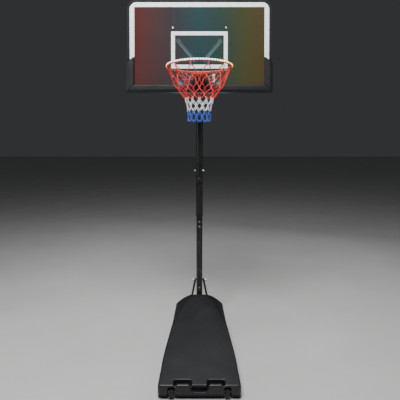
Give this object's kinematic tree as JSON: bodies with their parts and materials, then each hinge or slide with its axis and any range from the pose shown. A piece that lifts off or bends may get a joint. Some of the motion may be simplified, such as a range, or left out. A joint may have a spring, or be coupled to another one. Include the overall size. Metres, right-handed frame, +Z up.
{
  "type": "portable basketball hoop",
  "caption": "Free-standing basketball hoop: wheeled ballast tank, telescoping pole, smoked padded backboard, lit ring on a sprung hinge and a tricolour net.",
  "frame": {"origin": "on the floor, under the axis of the pole, on the tank's flat underside", "axes": "+Z up along the pole, -Y towards the court and the ring, +X to the right seen from the court"},
  "size_m": [1.222, 1.323, 2.963],
  "materials": {
    "tank_plastic": "fine moulded grain",
    "wheel_plastic": "moulded, scuffed tread",
    "black_plastic": "satin moulding",
    "grey_plastic": "satin moulding",
    "white_plastic": "gloss moulding",
    "black_steel": "semi-gloss powder coat",
    "strut_steel": "semi-gloss powder coat",
    "arm_steel": "semi-gloss powder coat",
    "zinc_steel": "zinc plated",
    "spring_steel": "bright plated wire",
    "smoked_panel": "smoked clear sheet",
    "white_line": "printed line",
    "pad_vinyl": "soft vinyl skin over foam",
    "rim_paint": "powder coat",
    "light_tube": "lit diffuser strip",
    "net_red": "braided cord",
    "net_white": "braided cord",
    "net_blue": "braided cord"
  },
  "bodies": {
    "base": {"ballast_tank": "tank_plastic", "wheel_axles": "zinc_steel", "lower_pole": "black_steel", "middle_pole": "black_steel", "inner_pole_plug": "black_plastic", "pole_joint_screws": "zinc_steel", "strut_left": "strut_steel", "strut_right": "strut_steel", "strut_bolt": "zinc_steel", "strut_foot_bolts": "zinc_steel"},
    "wheel_left": {"wheel_left": "wheel_plastic"},
    "wheel_right": {"wheel_right": "wheel_plastic"},
    "fill_cap": {"fill_cap": "black_plastic"},
    "upper": {"upper_pole": "black_steel", "pole_top_cap": "black_plastic", "glide_bushes": "black_plastic", "lock_boss": "black_steel", "retaining_screw": "zinc_steel", "pole_brackets": "black_steel", "pole_bracket_bolts": "zinc_steel", "arm_upper_left": "arm_steel", "arm_upper_right": "arm_steel", "arm_lower_left": "arm_steel", "arm_lower_right": "arm_steel", "arm_bolts": "zinc_steel", "board_lugs": "black_steel", "frame_top_rail": "black_steel", "frame_bottom_rail": "black_steel", "frame_left_stile": "black_steel", "frame_right_stile": "black_steel", "frame_left_upright": "arm_steel", "frame_right_upright": "arm_steel", "frame_cross_rail": "black_steel", "panel": "smoked_panel", "border_lines": "white_line", "target_rectangle": "white_line", "edge_trim": "black_plastic", "pad_left": "pad_vinyl", "pad_right": "pad_vinyl", "pad_bottom": "pad_vinyl", "panel_screws": "zinc_steel", "rim_backing_plate": "black_steel", "rim_bracket": "black_steel", "rim_hinge_pin": "zinc_steel", "rim_mount_bolts": "zinc_steel", "rim_spring_bolts": "zinc_steel", "rim_springs": "spring_steel", "light_box": "white_plastic"},
    "lock_knob": {"lock_knob": "zinc_steel"},
    "ring": {"rim_yoke": "rim_paint", "rim_ring": "rim_paint", "rim_braces": "rim_paint", "net_hooks": "rim_paint", "led_strip": "light_tube", "net_red": "net_red", "net_white": "net_white", "net_blue": "net_blue"},
    "light_button": {"light_button": "grey_plastic"}
  },
  "joints": [
    {"name": "height_slide", "type": "slide", "parent": "base", "child": "upper", "axis": [0, 0, 1], "range_m": [0, 0.706]},
    {"name": "wheel_left_spin", "type": "hinge", "parent": "base", "child": "wheel_left", "pos_m": [-0.194, -1.003, 0.044], "axis": [1, 0, 0], "continuous": true},
    {"name": "wheel_right_spin", "type": "hinge", "parent": "base", "child": "wheel_right", "pos_m": [0.194, -1.003, 0.044], "axis": [1, 0, 0], "continuous": true},
    {"name": "fill_cap_turn", "type": "hinge", "parent": "base", "child": "fill_cap", "pos_m": [-0.15, 0.11, 0.15], "axis": [0, 0, 1], "range_deg": [0, 360]},
    {"name": "lock_knob_turn", "type": "hinge", "parent": "upper", "child": "lock_knob", "pos_m": [0, 0.055, 1.515], "axis": [0, 1, 0], "range_deg": [0, 360]},
    {"name": "ring_hinge", "type": "hinge", "parent": "upper", "child": "ring", "pos_m": [0, -0.416, 2.332], "axis": [1, 0, 0], "range_deg": [0, 20], "stiffness_Nm_per_rad": 300, "springref_deg": -17.19, "deforming": ["rim_springs"]},
    {"name": "light_button_press", "type": "slide", "parent": "upper", "child": "light_button", "axis": [0, 1, 0], "range_m": [0, 0.002], "stiffness_N_per_m": 400, "springref_m": -0.002}
  ]
}
